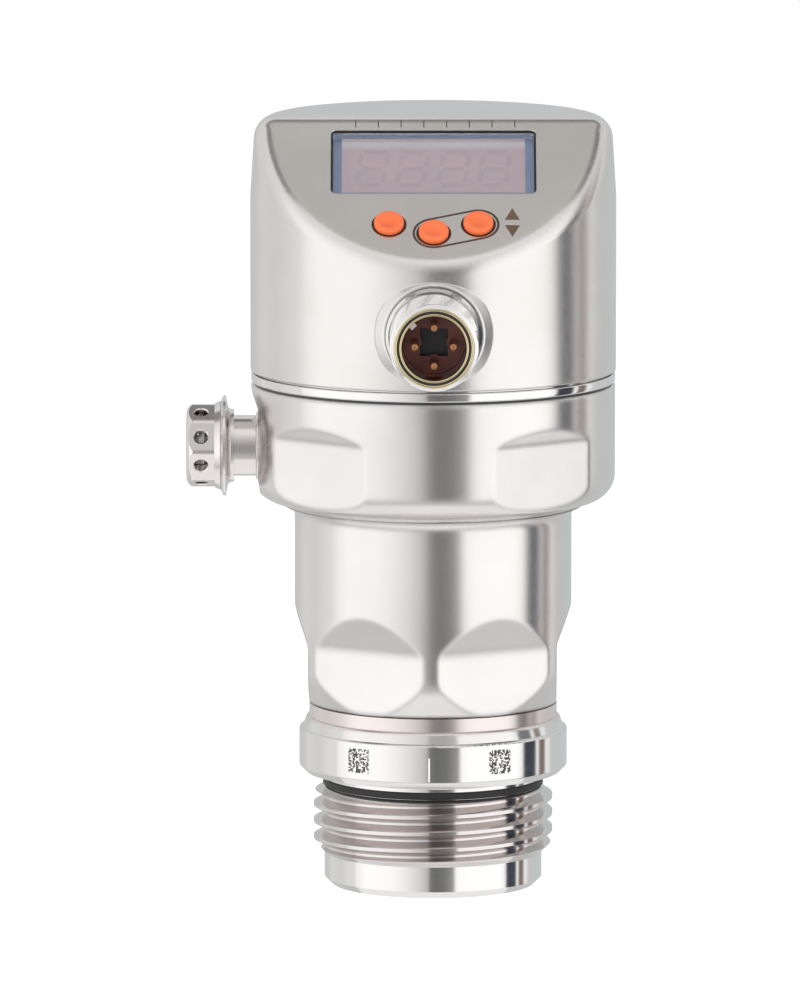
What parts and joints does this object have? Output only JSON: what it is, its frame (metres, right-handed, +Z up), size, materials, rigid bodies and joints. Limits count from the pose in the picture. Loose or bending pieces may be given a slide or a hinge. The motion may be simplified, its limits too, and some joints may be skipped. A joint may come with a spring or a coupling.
{
  "type": "pressure transmitter",
  "caption": "Stainless pressure transmitter with a turning display head, orange keys, a threaded electrical connector, a vent and a flush threaded process end.",
  "frame": {"origin": "centre of the flat process-side face, where the flush measuring cell ends", "axes": "+Z up along the device's axis, towards the head; the display panel and the electrical connector face -Y; the vent faces -X"},
  "size_m": [0.0595, 0.0658, 0.1072],
  "materials": {
    "brushed_stainless": "satin",
    "turned_stainless": "polished",
    "orange_elastomer": "satin",
    "black_elastomer": "matt",
    "grey_seal": "matt",
    "window_glass": "polished",
    "display_plastic": "matt",
    "frame_plastic": "matt",
    "dark_insert": "matt",
    "board": "satin",
    "plated_brass": "polished",
    "sensor_ceramic": "matt",
    "white_plastic": "matt",
    "steel_small": "satin"
  },
  "bodies": {
    "base": {"process_fitting": "turned_stainless", "measuring_cell": "sensor_ceramic", "front_seal": "grey_seal", "cell_spacer": "steel_small", "sensor_board": "board", "clamp_ring": "steel_small", "signal_lead": "black_elastomer", "sensor_body": "brushed_stainless", "base_gasket": "black_elastomer", "seam_ring": "turned_stainless", "slip_washer": "white_plastic", "snap_ring": "steel_small", "stop_pin": "steel_small", "vent_body": "turned_stainless", "vent_seal": "black_elastomer"},
    "head": {"head_housing": "brushed_stainless", "head_seal": "black_elastomer", "display_window": "window_glass", "window_gasket": "black_elastomer", "display_frame": "frame_plastic", "display_module": "display_plastic", "display_board": "board", "display_screws": "steel_small", "tact_switch_1": "steel_small", "tact_switch_2": "steel_small", "tact_switch_3": "steel_small", "connector_shell": "turned_stainless", "connector_seal": "black_elastomer", "connector_nut": "steel_small", "contact_carrier": "dark_insert", "contact_pin_1": "plated_brass", "contact_pin_2": "plated_brass", "contact_pin_3": "plated_brass", "contact_pin_4": "plated_brass", "connector_wires": "black_elastomer", "board_carrier": "white_plastic", "main_board": "board", "lead_socket": "white_plastic"},
    "button_left": {"button_1": "orange_elastomer"},
    "button_middle": {"button_2": "orange_elastomer"},
    "button_right": {"button_3": "orange_elastomer"},
    "vent_insert": {"vent_membrane": "white_plastic", "membrane_clip": "steel_small"},
    "vent_screw_cap": {"vent_cap": "turned_stainless"}
  },
  "joints": [
    {"name": "head_turn", "type": "hinge", "parent": "base", "child": "head", "pos_m": [0, 0, 0.07], "axis": [0, 0, 1], "range_deg": [-172.5, 172.5]},
    {"name": "button_left_press", "type": "slide", "parent": "head", "child": "button_left", "axis": [0, 0.6225, -0.7826], "range_m": [0, 0.0006], "stiffness_N_per_m": 2500},
    {"name": "button_middle_press", "type": "slide", "parent": "head", "child": "button_middle", "axis": [0, 0.6225, -0.7826], "range_m": [0, 0.0006], "stiffness_N_per_m": 2500},
    {"name": "button_right_press", "type": "slide", "parent": "head", "child": "button_right", "axis": [0, 0.6225, -0.7826], "range_m": [0, 0.0006], "stiffness_N_per_m": 2500},
    {"name": "vent_lift", "type": "slide", "parent": "base", "child": "vent_insert", "axis": [-1, 0, 0], "range_m": [0, 0.002]},
    {"name": "vent_unscrew", "type": "hinge", "parent": "vent_insert", "child": "vent_screw_cap", "pos_m": [-0.032, 0, 0.06125], "axis": [-1, 0, 0], "range_deg": [0, 720]}
  ],
  "couplings": [
    {"joint": "vent_lift", "follows": "vent_unscrew", "m_per_rad": 0.00015915}
  ]
}
